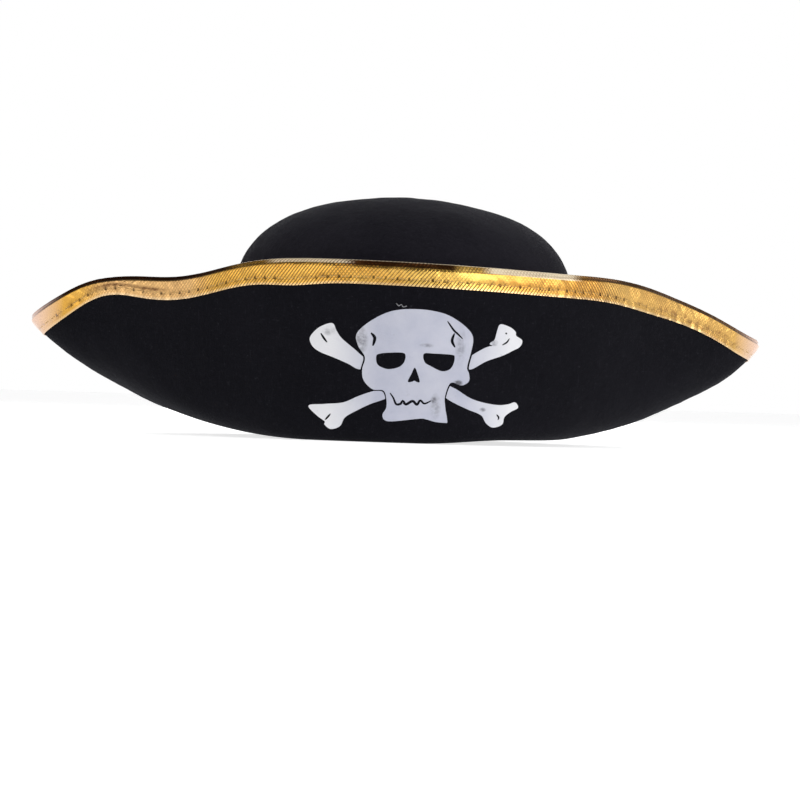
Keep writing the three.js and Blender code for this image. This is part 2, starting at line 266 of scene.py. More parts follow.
def on_crown(angle, share, inset):
    """Points of the crown at shares of its profile, inset from its outer face."""
    base = underside(CROWN["x"] * np.cos(angle), angle) + FELT + 0.3
    bend = share * math.pi / 2
    wide = np.maximum(np.cos(bend), 0) ** (2 / ROUNDING["plan"])
    high = np.sin(bend) ** (2 / ROUNDING["rise"])
    x = (CROWN["x"] - inset) * wide * np.cos(angle) + CROWN["lean"] * high**2
    y = (CROWN["y"] - inset) * wide * np.sin(angle)
    return stack(x, y, mix(base, CROWN["top"] - inset, high))


# --- Meshes ---

def make(name, points, faces, uv=None, seam=None):
    """An object from points in millimetres; uv and seam are one pair for each point."""
    mesh = bpy.data.meshes.new(name)
    places = (np.asarray(points, float) + (*SHIFT, 0)) * MM
    mesh.from_pydata(places.tolist(), [], faces)
    corner = np.empty(len(mesh.loops), dtype=np.int32)
    mesh.loops.foreach_get("vertex_index", corner)
    for layer, values in (("cloth", uv), ("seam", seam)):
        if values is not None:
            places = np.asarray(values, dtype=np.float32)[corner].ravel()
            mesh.uv_layers.new(name=layer).data.foreach_set("uv", places)
    mesh.polygons.foreach_set("use_smooth", [True] * len(mesh.polygons))
    mesh.set_sharp_from_angle(angle=math.radians(50))
    mesh.update()
    piece = bpy.data.objects.new(name, mesh)
    bpy.context.scene.collection.objects.link(piece)
    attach(piece, "root")
    return piece


def sheet_faces(rows, columns, ring):
    """Faces of a closed solid between two grids of rows by columns, outer first."""
    outer = np.arange(rows * columns).reshape(rows, columns)
    inner = outer + rows * columns

    def quads(a, b, c, d):
        return np.stack([a, b, c, d], axis=-1).reshape(-1, 4)

    k = np.roll(np.arange(rows), -1) if ring else np.arange(1, rows)
    i = np.arange(rows) if ring else np.arange(rows - 1)
    faces = [
        quads(outer[i][:, :-1], outer[k][:, :-1], outer[k][:, 1:], outer[i][:, 1:]),
        quads(inner[i][:, :-1], inner[i][:, 1:], inner[k][:, 1:], inner[k][:, :-1]),
        quads(outer[i, 0], inner[i, 0], inner[k, 0], outer[k, 0]),
        quads(outer[i, -1], outer[k, -1], inner[k, -1], inner[i, -1]),
    ]
    if not ring:
        faces.append(quads(outer[0, :-1], outer[0, 1:], inner[0, 1:], inner[0, :-1]))
        faces.append(quads(outer[-1, :-1], inner[-1, :-1], inner[-1, 1:], outer[-1, 1:]))
    return np.concatenate(faces)


def outward(points, faces):
    """The faces of a closed solid, turned over if its triangles and quads point inwards."""
    corners = [face[:3] for face in faces if len(face) < 5]
    corners += [face[-2:] + face[:1] for face in faces if len(face) == 4]
    a, b, c = (points[np.array(corners)[:, i]] for i in range(3))
    inside_out = (a * np.cross(b, c)).sum() < 0
    return [face[::-1] for face in faces] if inside_out else faces


def sheet_piece(name, outer, inner, ring, *layers):
    """A closed thin solid between two matching grids of points, with its faces pointing out."""
    rows, columns = outer.shape[:2]
    points = np.concatenate([outer.reshape(-1, 3), inner.reshape(-1, 3)])
    both = [np.concatenate([layer.reshape(-1, 2)] * 2) for layer in layers]
    return make(name, points, outward(points, sheet_faces(rows, columns, ring).tolist()), *both)


def lengths(path):
    """The length along a path at each of its points."""
    return np.concatenate([[0], np.cumsum(np.linalg.norm(np.diff(path, axis=0), axis=1))])


def tube(path, radius, sides=7):
    """Points, faces and uv of a closed tube whose ends taper to a rounded tip."""
    path = np.asarray(path, float)
    count = len(path)
    along = unit(np.gradient(path, axis=0))
    helper = np.array([0.0, 0.0, 1.0])
    if abs(along[0] @ helper) > 0.9:
        helper = np.array([0.0, 1.0, 0.0])
    first = unit(np.cross(along, helper))
    second = np.cross(along, first)
    place = np.linspace(0, 1, count)
    taper = np.minimum(1, np.sqrt(np.minimum(place, 1 - place) * count * 0.9) + 0.25)
    turns = np.arange(sides) * TAU / sides
    ring = np.cos(turns)[:, None] * first[:, None] + np.sin(turns)[:, None] * second[:, None]
    points = (path[:, None] + ring * (radius * taper)[:, None, None]).reshape(-1, 3)
    here = np.arange((count - 1) * sides).reshape(-1, sides)
    beside = np.roll(here, -1, axis=1)
    faces = stack(here, beside, beside + sides, here + sides).reshape(-1, 4).tolist()
    faces += [list(range(sides))[::-1], [(count - 1) * sides + j for j in range(sides)]]
    uv = stack(lengths(path)[:, None], turns[None] * radius).reshape(-1, 2)
    return points, faces, uv


def join(name, parts):
    """One object from many (points, faces, uv)."""
    points, faces, uv, start = [], [], [], 0
    for p, f, t in parts:
        points.append(p)
        uv.append(t)
        faces += [[start + i for i in face] for face in f]
        start += len(p)
    return make(name, np.concatenate(points), faces, uv=np.concatenate(uv))


# --- Materials ---

class Look:
    """A node material with short calls for the nodes used here."""

    def __init__(self, name, slot):
        self.material = bpy.data.materials.new(name)
        self.material.use_nodes = True
        self.slot = slot
        self.nodes = self.material.node_tree.nodes
        self.shader = self.nodes["Principled BSDF"]
        self.place = self.nodes.new("ShaderNodeTexCoord").outputs["Object"]
        self.uv, self.seam = self.layer("cloth"), self.layer("seam")

    def feed(self, node, inputs, output=0):
        """Links or sets inputs of a node and gives one of its outputs."""
        for name, value in inputs.items():
            if isinstance(value, bpy.types.NodeSocket):
                self.material.node_tree.links.new(value, node.inputs[name])
            else:
                node.inputs[name].default_value = value
        return node.outputs[output]

    def new(self, kind, inputs, output=0):
        """An output of a new node of a kind."""
        return self.feed(self.nodes.new("ShaderNode" + kind), inputs, output)

    def layer(self, name):
        node = self.nodes.new("ShaderNodeUVMap")
        node.uv_map = name
        return node.outputs["UV"]

    def noise(self, wavelength, detail=4.0, rough=0.6, stretch=(1, 1, 1)):
        """Noise whose largest features are about a wavelength, in millimetres."""
        scale = [s / (wavelength * MM) for s in stretch]
        place = self.new("Mapping", {"Vector": self.place, "Scale": scale})
        inputs = {"Vector": place, "Scale": 1, "Detail": detail, "Roughness": rough}
        return self.new("TexNoise", inputs, "Fac")

    def cells(self, wavelength):
        """Distance from the middle of random cells about a wavelength wide, in millimetres."""
        return self.new("TexVoronoi", {"Vector": self.place, "Scale": 1 / (wavelength * MM)}, "Distance")

    def math(self, kind, a, b=0.0):
        node = self.nodes.new("ShaderNodeMath")
        node.operation = kind
        return self.feed(node, {0: a, 1: b})

    def fold(self, kind, total, *rest):
        """One math operation over several values, from the left."""
        for value in rest:
            total = self.math(kind, total, value)
        return total

    def times(self, *values):
        return self.fold("MULTIPLY", *values)

    def plus(self, *values):
        return self.fold("ADD", *values)

    def most(self, *values):
        return self.fold("MAXIMUM", *values)

    def less(self, value, start=1):
        """What is left of a start, or of one, when a value is taken off it."""
        return self.math("SUBTRACT", start, value)

    def squared(self, value):
        return self.math("POWER", value, 2)

    def wave(self, value, length):
        """A sine along a value, of a wavelength in the value's unit."""
        return self.math("SINE", self.times(value, TAU / length))

    def span(self, value, low, high, to_low=0.0, to_high=1.0):
        """A value's place between two limits, clamped, from to_low to to_high."""
        limits = {"From Min": low, "From Max": high, "To Min": to_low, "To Max": to_high}
        return self.new("MapRange", {"Value": value, **limits})

    def window(self, value, low, high, soft):
        """1 from low to high, fading to 0 within soft of both."""
        return self.times(self.span(value, low - soft, low), self.span(value, high, high + soft, 1, 0))

    def blend(self, weight, a, b):
        """A colour from a to b by a weight; both may be values of three numbers."""
        a, b = (c if isinstance(c, bpy.types.NodeSocket) else (*c, 1) for c in (a, b))
        node = self.nodes.new("ShaderNodeMix")
        node.data_type = "RGBA"
        return self.feed(node, {0: weight, 6: a, 7: b}, 2)

    def axes(self, source):
        """The coordinates of a place or a UV layer, or the parts of a direction."""
        node = self.nodes.new("ShaderNodeSeparateXYZ")
        self.feed(node, {0: source})
        return node.outputs

    def relief(self, height, depth, under=None):
        """A bump of a depth in millimetres over the relief under it."""
        below = {} if under is None else {"Normal": under}
        return self.new("Bump", {"Distance": depth * MM, "Height": height, **below})

    def finish(self, color, roughness, normal, **constants):
        inputs = {"Base Color": color, "Roughness": roughness, "Normal": normal}
        inputs.update((name.replace("_", " "), value) for name, value in constants.items())
        self.feed(self.shader, inputs)
        return self

    def on(self, piece):
        """Puts the material on a piece and gives the piece back."""
        piece.data.materials.append(self.material)
        return piece


def felt_look(name, dark, light):
    """Wool felt: matted hairs lying every way, soft clouding, specks of lint, and painted shade that darkens
    the faces that point down.
    """
    look = Look(name, "felt")
    fibres, tufts, cloudy = look.noise(0.55, 6, 0.75), look.noise(2.6, 4, 0.6), look.noise(38, 3, 0.5)
    upright, lying = (look.noise(0.7, 3, 0.6, stretch) for stretch in ((1, 1, 0.16), (0.16, 0.4, 1)))
    hairs = look.most(upright, lying)
    tone = look.plus(look.times(fibres, 0.5), look.times(cloudy, 0.35), look.times(tufts, 0.25))
    color = look.blend(look.span(tone, 0.40, 0.74), dark, light)
    color = look.blend(look.span(hairs, 0.60, 0.80, 0, 0.35), color, PALE_HAIR)
    color = look.blend(look.span(look.noise(1.3, 3, 0.6), 0.66, 0.76, 0, 0.35), color, LINT)
    # Painted shade: faces that point down are darkened towards near black, standing in for the shade under
    # the brim
    facing = look.axes(look.new("NewGeometry", {}, "Normal"))[2]
    color = look.blend(look.span(facing, -0.3, -0.85, 0, 0.2), color, PAINTED_UNDERSIDE_SHADE)
    normal = look.relief(tufts, 0.35)
    normal = look.relief(look.plus(fibres, hairs), 0.28, normal)
    normal = look.relief(look.cells(0.8), 0.12, normal)
    return look.finish(
        color, look.span(fibres, 0.3, 0.7, 0.86, 1.0), normal,
        Sheen_Weight=0.03, Sheen_Roughness=0.4, Sheen_Tint=(0.72, 0.74, 0.9, 1), Specular_IOR_Level=0.08,
    )


def gold_look():
    """Lame tape: slanting cut grooves, a pale selvedge, needle holes, and a fold painted with dark
    reflections and pale highlights; painted shade and highlights along the front, and a pinker painted
    reflection at both ends.
    """
    look = Look("gold_tape", "gold_tape")
    (u, v, _), (edge, row, _), (x, y, _) = (look.axes(s) for s in (look.uv, look.seam, look.place))
    x, front = look.times(x, 1 / MM), look.span(y, -0.002, 0.002, 1, 0)
    cloudy, scuff, patches = look.noise(14, 4, 0.6), look.noise(2.6, 6, 0.72), look.noise(24, 3, 0.6)
    specks = look.noise(3.4, 5, 0.75)

    def stretch(low, high, soft, height=1.0):
        """A stretch of the front edge, between two places across the hat."""
        return look.times(look.window(x, low, high, soft), front, height)

    def strip(depth):
        """The top of the front, down to a depth below the fold."""
        return look.window(edge, FOLD - depth, FOLD + 0.95, 0.3)

    def top_stretch(low, high, depth, height):
        return look.times(strip(depth), stretch(low, high, 6, height))

    wander = look.times(look.noise(6, 2, 0.5), 0.35)
    uneven = look.span(patches, 0.40, 0.58, 0.08, 0.5)
    cuts = []
    for slant, low, high, top in CUTS:
        across = look.plus(u, look.times(v, slant), wander)
        line = look.math("ABSOLUTE", look.wave(across, 2 * CUT_PITCH))
        deep = look.most(uneven, stretch(low, high, 11, 0.95))
        deep = look.times(deep, look.span(v, top - 0.4, top + 0.4, 1, 0))
        cuts.append(look.times(look.span(line, 0.12, 0.72, 1, 0), deep))
    cuts = look.most(*cuts)

    away = look.plus(look.squared(look.math("PINGPONG", u, PITCH / 2)), look.squared(row))
    holes = look.times(look.span(away, 0.15, 0.7, 1, 0), look.span(look.noise(4, 2), 0.40, 0.54))
    holes = look.times(holes, look.span(x, 100, 125, 1, 0.3))
    tarnish = look.times(look.span(row, 0.4, 2.4, 1, 0), look.span(specks, 0.50, 0.64))
    lower = look.times(stretch(128, 158, 12), look.span(specks, 0.46, 0.60), look.span(v, 4.5, 6.5, 1, 0))
    from_crease = look.math("ABSOLUTE", look.less(CREASE["at"], v))
    # Painted shade darkening the crease
    crease_shade = look.times(stretch(-148, -122, 8), look.span(from_crease, 0.2, 1.3, 1, 0))

    color = look.blend(look.span(cloudy, 0.38, 0.66), *GOLD)
    for weight, tint in (
        # Painted shade: the left half of the front is darkened
        (look.times(front, look.span(x, -60, 0, 0.6, 0)), (0.60, 0.31, 0.045)),
        # Painted reflection: a paler, pinker stretch on the left, where the tape turns towards the white
        # surroundings
        (stretch(-146, -106, 12, 0.6), (0.66, 0.42, 0.22)),
        # Painted shade: the right end is darkened against the key lamp's reflection
        (stretch(96, 176, 16, 0.6), (0.60, 0.36, 0.12)),
        # Painted shade: a darker stretch right of the middle, against the key lamp's highlight
        (stretch(42, 84, 14, 0.5), (0.56, 0.25, 0.05)),
        # Painted highlight: a brighter stretch just right of the middle
        (stretch(0, 24, 10, 0.5), (0.98, 0.66, 0.16)),
        (look.span(scuff, 0.57, 0.72, 0, 0.5), (0.40, 0.21, 0.07)),
        (look.span(edge, 0.2, 1.4, 0.4, 0), (0.92, 0.76, 0.52)),
        (look.times(cuts, 0.85), (0.10, 0.035, 0.008)),
        (look.times(tarnish, 0.6), (0.10, 0.05, 0.02)),
        (look.times(lower, 0.75), (0.30, 0.15, 0.05)),
        # Painted shade in the crease
        (look.times(crease_shade, look.span(specks, 0.35, 0.6, 0.3, 0.95)), (0.12, 0.05, 0.02)),
        (look.times(holes, 0.75), (0.02, 0.01, 0.005)),
        # Painted dark reflection along the top of the front and over the fold
        (look.times(strip(0.3), 0.25), (0.06, 0.02, 0.006)),
        # Painted dark reflections on stretches of the fold
        *((top_stretch(*place), tint) for *place, tint in FOLD_PAINTED_SHADE),
    ):
        color = look.blend(weight, color, tint)

    # Painted highlights along the fold and over its crest, with less metal and more roughness so that they
    # stay pale
    wear_and_highlights = [top_stretch(*place) for place in FOLD_PAINTED_HIGHLIGHTS]
    wear_and_highlights.append(look.times(look.window(edge, FOLD + 0.7, FOLD + 1.5, 0.2), stretch(-68, 76, 8)))
    pale = look.times(look.most(*wear_and_highlights), look.less(look.times(cuts, 0.9)))
    # Painted reflection of the white surroundings near both ends of the tape: pinker and with less metal
    tip_reflection = look.span(look.math("ABSOLUTE", x), 166, 180)
    color = look.blend(pale, color, (0.95, 0.81, 0.58))
    color = look.blend(look.times(tip_reflection, 0.8), color, (0.80, 0.58, 0.50))

    rough = look.plus(look.span(scuff, 0.3, 0.7, 0.10, 0.24), look.times(pale, 0.25))
    metal = look.span(look.most(pale, look.times(tip_reflection, 0.6)), 0, 1, 0.95, 0.25)
    normal = look.relief(look.noise(8, 3, 0.5), 0.25)
    normal = look.relief(look.less(cuts), 0.10, normal)
    normal = look.relief(look.less(holes), 0.2, normal)
    return look.finish(color, rough, normal, Metallic=metal, Specular_IOR_Level=0.5)


def thread_look(name, slot, dark, light, sheen=0.2, metallic=0.0):
    """Twisted yarn with a little fuzz."""
    look = Look(name, slot)
    u, v, _ = look.axes(look.uv)
    ply = look.wave(look.plus(u, look.times(v, 1.6)), 0.55)
    fuzz = look.noise(0.2, 4, 0.7)
    return look.finish(
        look.blend(look.span(ply, -0.8, 0.8), dark, light), look.span(fuzz, 0.3, 0.7, 0.45, 0.7),
        look.relief(fuzz, 0.05, look.relief(ply, 0.12)),
        Sheen_Weight=sheen, Sheen_Roughness=0.4, Metallic=metallic,
    )


def film_look():
    """Heat-pressed film: a little cloudy, scuffed, and rubbed thin in a few places of its own."""
    look = Look("print_film", "print_film")
    across, up, _ = look.axes(look.uv)
    cloudy, wear_and_highlights, felt = look.noise(12, 5, 0.6), look.noise(3.2, 6, 0.7), look.noise(0.7, 5, 0.7)
    color = look.blend(look.span(cloudy, 0.35, 0.68), (0.42, 0.435, 0.53), (0.49, 0.50, 0.58))
    color = look.blend(look.span(look.math("ABSOLUTE", across), 21, 42, 0, 0.9), color, (0.74, 0.74, 0.76))
    color = look.blend(look.span(wear_and_highlights, 0.62, 0.74, 0, 0.45), color, (0.30, 0.31, 0.37))
    patchy = look.span(wear_and_highlights, 0.36, 0.58)
    for (x, z), (wide, high), depth in RUBBED:
        sideways = look.math("DIVIDE", look.less(x, across), wide)
        upwards = look.math("DIVIDE", look.less(z, up), high)
        far = look.plus(look.squared(sideways), look.squared(upwards))
        color = look.blend(look.times(look.span(far, 0.0, 1.6, depth, 0), patchy), color, (0.10, 0.10, 0.12))
    normal = look.relief(felt, 0.14, look.relief(wear_and_highlights, 0.12))
    return look.finish(color, look.span(wear_and_highlights, 0.3, 0.7, 0.42, 0.62), normal, Specular_IOR_Level=0.45)


def ribbon_look():
    """Grosgrain: ribs across, with a fine yarn over them."""
    look = Look("black_ribbon", "ribbon")
    u, v, _ = look.axes(look.uv)
    rib, yarn, cloudy = look.wave(u, 0.95), look.wave(v, 0.45), look.noise(20, 3, 0.5)
    color = look.blend(look.span(rib, -0.9, 0.9), (0.006, 0.006, 0.008), (0.022, 0.022, 0.026))
    color = look.blend(look.span(cloudy, 0.4, 0.7, 0, 0.3), color, (0.035, 0.035, 0.04))
    normal = look.relief(look.times(yarn, rib), 0.05, look.relief(rib, 0.22))
    return look.finish(
        color, look.span(cloudy, 0.3, 0.7, 0.5, 0.68), normal, Sheen_Weight=0.3, Sheen_Roughness=0.3,
    )


def label_look():
    """Plain-woven white tape."""
    look = Look("woven_label", "label_cloth")
    u, v, _ = look.axes(look.uv)
    weave, cloudy = look.times(look.wave(u, 0.5), look.wave(v, 0.4)), look.noise(8, 4, 0.6)
    color = look.blend(look.span(cloudy, 0.35, 0.7), (0.62, 0.61, 0.58), (0.80, 0.80, 0.77))
    color = look.blend(look.span(weave, -1, -0.3, 0.25, 0), color, (0.45, 0.44, 0.42))
    rough = look.span(cloudy, 0.3, 0.7, 0.7, 0.85)
    return look.finish(color, rough, look.relief(weave, 0.08), Sheen_Weight=0.2)


# --- Felt body ---

def brim(felt):
    """The felt brim: a flat margin around the opening, then turned up to the bound edge."""
    count, rows, pared_rows = 720, 91, np.array([2.6, 2.1, 1.5, 0.9, 0.4, 0.0])
    angles = np.arange(count) * TAU / count + FRONT
    total = section_points(angles, np.ones((count, 1)))[1][:, None]
    even = np.linspace(0, 1, rows + 1)[:-1] ** 1.1 * (1 - pared_rows[0] / total)
    shares = np.concatenate([even, 1 - pared_rows / total], axis=1)
    outer, _, normal, _ = skin(angles, shares)
    taper = pared(angles, (1 - shares) * total)
    inner = outer + normal * (FELT + 0.05 * undulation(outer, 6, 2) * ease(shares * 4) - taper)[..., None]
    outer = outer + normal * taper[..., None]
    lips = []
    for wider, trim in ((0.0, 0.4), (0.25, 0.1), (1.2, 0.0)):
        axes = [a + wider for a in OPENING]
        lips.append([on_oval(axes, angles, lift)[:, None] for lift in (trim, FELT - trim)])
    outer = np.concatenate([lip[0] for lip in lips] + [outer], axis=1)
    inner = np.concatenate([lip[1] for lip in lips] + [inner], axis=1)
    piece = felt.on(sheet_piece("felt_brim", outer, inner, True))
    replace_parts(piece, "brim")
    return piece


def crown(felt):
    """The moulded dome, with the soft dents of a pressed felt body; it closes in a small cap."""
    rows, columns, foot_rows = 480, 130, 30
    angles = np.arange(rows)[:, None] * TAU / rows + FRONT
    foot = np.linspace(0, 1, foot_rows + 1)[:-1] ** 3 * 0.04
    shares = np.concatenate([foot, np.linspace(0.04, 0.9985, columns - foot_rows)])[None]
    outer, inner = (on_crown(angles, shares, inset) for inset in (0, FELT))
    dented = dents(outer, CROWN_DENTS) * ease((outer[..., 2] - 4) / 24)
    push = unit(outer - inner) * dented[..., None]
    points = np.concatenate([(face + push).reshape(-1, 3) for face in (outer, inner)])
    faces = sheet_faces(rows, columns, True)
    top = columns - 1
    open_end = (faces % columns == top).all(axis=1)
    cap = [i * columns + top for i in range(rows)]
    ends = [cap, [rows * columns + i for i in cap][::-1]]
    piece = felt.on(make("felt_crown", points, outward(points, faces[~open_end].tolist() + ends)))
    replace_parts(piece, "crown")
    return piece


# --- Gold binding ---

def edge_stations(step, clear):
    """Angles at even steps along the brim's edge, from the centre back round to it, and their places."""
    fine = np.linspace(BACK, BACK + TAU, 6001)
    length = lengths(brim_edge(fine))
    count = int(round((length[-1] - 2 * clear) / step))
    places = np.linspace(clear, length[-1] - clear, count + 1)
    return np.interp(places, length, fine), places


def ripple(u, wavelength, seed):
    """Smooth random waves along the tape, about -1 to 1."""
    draw = np.random.default_rng(seed)
    rates = draw.uniform(0.6, 1.5, 7) * TAU / wavelength
    return np.sin(u[..., None] * rates + draw.uniform(0, TAU, 7)).sum(axis=-1) / 3


def outer_width(angles):
    """Width of the tape outside the brim; it wanders as hand-guided binding does."""
    x = brim_edge(angles)[:, :1]
    return 9.9 + 1.6 * bump(x, -60, 14) - 2.6 * bump(x, -146, 15) + 1.6 * bump(x, 112, 20)


def tape_relief(u, v, width, x):
    """How far the tape stands off the felt at u along it and v from its free edge: sewn down in a row of
    dimples, puffed above them, ruffled below them, creased where the brim kinks."""
    hole = (0.5 + 0.5 * np.cos(TAU * u / PITCH)) ** 2
    above, below = np.clip((v - ROW) / (width - ROW), 0, 1), np.clip(1 - v / ROW, 0, 1)
    arch = np.sin(math.pi * above)
    groove = -0.10 * bump(v, ROW, 0.8) - 0.14 * hole * bump(v, ROW, 1.1)
    puff = arch * (0.20 + 0.12 * ripple(u, 19, 1) + 0.05 * ripple(u + 0.8 * v, 6, 2))
    ruffle = below * (0.16 * (1 - hole) + 0.09 * ripple(u, 8, 3))
    pleats = 0.05 * np.cos(TAU * u / PITCH + 0.8 * ripple(u, 30, 4)) * bump(v - ROW, 1.5, 2.5)
    kink = bump(x, -148, 22) + 0.45 * bump(x, -100, 14) + 0.35 * bump(x, 165, 12)
    creases = kink * (0.18 * ripple(u + 0.9 * v, 7, 5) + 0.10 * ripple(u - 1.3 * v, 4, 6)) * arch
    pinch = -0.4 * bump(x, *CREASE["along"]) * bump(v, CREASE["at"] + 0.35 * ripple(u, 26, 7), 0.5)
    return groove + puff + ruffle + pleats + creases + pinch


def tape_face(angles, u, lift, relief=True):
    """One face of the folded tape at a lift off the felt: the outside, over the edge, the inside."""
    width = outer_width(angles)
    other = 2 * TAPE["width"] - width
    hem, middle, top = (0, 0.012, 0.03, 0.06, 0.11, 0.17), np.linspace(0.22, 0.78, 12), np.linspace(0.8, 1, 8)
    share = np.concatenate([hem, middle, top])
    across = np.linspace(-1, 1, 17)[1:-1]
    front, back = share * width, share * other
    x, u = brim_edge(angles)[:, :1], u[:, None]
    rise = lift + (tape_relief(u, front, width, x) if relief else 0 * front)
    inside = lift + (tape_relief(u, back - (other - width), width, -x) if relief else 0 * back)
    trim = pared(angles, 0 * width)
    half = FELT / 2 + rise[:, -1:] - trim
    turn = (1 - np.abs(across) ** 1.7) * (TAPE["fold"] + rise[:, -1:])
    down, far = width - front, other - back
    downs = np.concatenate([down, -turn, far[:, ::-1]], axis=1)
    behind = FELT + (inside - pared(angles, far))[:, ::-1]
    offs = np.concatenate([pared(angles, down) - rise, FELT / 2 + half * across, behind], axis=1)
    over = TAPE["over"] * (across + 1) / 2
    v = np.concatenate([front, width + over, width + TAPE["over"] + far[:, ::-1]], axis=1)
    whole = 2 * TAPE["width"] + TAPE["over"]
    near = np.minimum(v, whole - v)
    high = np.concatenate([FOLD - down, FOLD + 1 + across + 0 * turn, 0 * far + 14], axis=1)
    row = np.concatenate([np.abs(front - ROW), 9 + 0 * turn, np.abs(far - (width - ROW))[:, ::-1]], axis=1)
    return near_edge(angles, downs, offs), stack(u, v), stack(np.where(near < 4.5, near, high), row)


def tape_piece(name, angles, u, low, high, relief):
    """A folded length of tape between two lifts off the felt."""
    outer, uv, seam = tape_face(angles, u, high, relief)
    inner, *_ = tape_face(angles, u, low, relief)
    return sheet_piece(name, outer, inner, False, uv, seam)


def binding(gold):
    """The tape along the whole edge, and its folded end over the join at the centre back."""
    lift, thick = TAPE["lift"], TAPE["thick"]
    angles, u = edge_stations(0.55, 0.4)
    tape = gold.on(tape_piece("gold_tape", angles, u, lift, lift + thick, True))
    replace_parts(tape, "gold_binding")
    half = 6.0
    angles, u = edge_stations(0.5, 0.0)
    near = np.concatenate([angles[u > u[-1] - half] - TAU, angles[1:][u[1:] < half]])
    places = np.concatenate([u[u > u[-1] - half] - u[-1], u[1:][u[1:] < half]])
    low = lift + thick + TAPE["lap"]
    lap = gold.on(tape_piece("tape_end_lap", near, places + 200, low, low + thick, False))
    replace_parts(lap, "binding_end_lap")
    return tape, lap


def strand(points, normal, height, radius, sink=0.5):
    """A stitch between two points of a surface: it rises out of it, runs along and dips back in."""
    a, b = (np.asarray(p, float) for p in points)
    t = np.linspace(0, 1, 9)
    lift = -sink + (height + sink) * np.minimum(1, 4.5 * np.minimum(t, 1 - t)) ** 0.6
    return tube(a + (b - a) * t[:, None] + np.asarray(normal)[None] * lift[:, None], radius)


def binding_thread(yarn):
    """The lockstitch through the tape, seen on both of its faces, and the stitches across its end lap."""
    angles, u = edge_stations(0.25, 0.0)
    holes = np.arange(2, int(u[-1] / PITCH) - 2) * PITCH
    draw = np.random.default_rng(21)
    parts = []
    ends = [np.interp(holes + place, u, angles) for place in (0.55, PITCH - 0.55)]
    surface = TAPE["lift"] + TAPE["thick"] - 0.18
    stacked = TAPE["lift"] + 2 * TAPE["thick"] + TAPE["lap"]

    def on_face(side, at, down, height):
        off = -height if side < 0 else FELT + height
        return near_edge(at, down, np.full(down.shape, off))

    for side in (-1, 1):
        rows = [outer_width(at) - ROW for at in ends]
        jitter = draw.normal(0, 0.12, (2, len(holes), 1))
        p, q = (on_face(side, at, r + j, surface)[:, 0] for at, r, j in zip(ends, rows, jitter))
        first = [on_face(side, ends[0], rows[0], surface + more) for more in (0, 1)]
        out = unit((first[1] - first[0])[:, 0])
        parts += [strand((a, b), n, 0.16, 0.17) for a, b, n in zip(p, q, out)]
        for place in (-4.6, 4.6):
            at = np.array([np.interp(place % u[-1], u, angles)])
            for down in (1.4, 4.2, 7.0):
                pair = np.array([[down, down + 2.0]])
                a, b = on_face(side, at, pair, stacked)[0]
                n = unit(on_face(side, at, pair, stacked + 1)[0, 0] - a)
                parts.append(strand((a, b), n, 0.16, 0.2))
    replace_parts(yarn.on(join("tape_stitching", parts)), "binding_thread")


# --- Inside of the hat ---

def standing(angles, inset, lifts, bulge=0.0):
    """Points of a strip that stands inside the head opening, at heights over the underside."""
    a = np.asarray(angles)[:, None]
    x, y = OPENING[0] - inset - bulge, OPENING[1] - inset - bulge
    ground = underside(OPENING[0] * np.cos(a), a)
    return stack(x * np.cos(a), y * np.sin(a), ground + np.asarray(lifts))


def strip(name, angles, insets, foot, up, swell, rim, radius=ROUND):
    """A closed strip of cloth that stands inside the opening, between two insets from it."""
    faces = (standing(angles, inset, foot + up, swell + more) for inset, more in zip(insets, (0, rim)))
    return sheet_piece(name, *faces, False, stack(angles[:, None] * radius, up[None]))


def inside_stitch(start, end, depth):
    """A stitch inside the opening between two places, each an angle and a height."""
    a, b = (standing([angle], depth, [height])[0, 0] for angle, height in (start, end))
    return strand((a, b), unit(np.array([-a[0], -a[1], 0])), 0.22, 0.26)


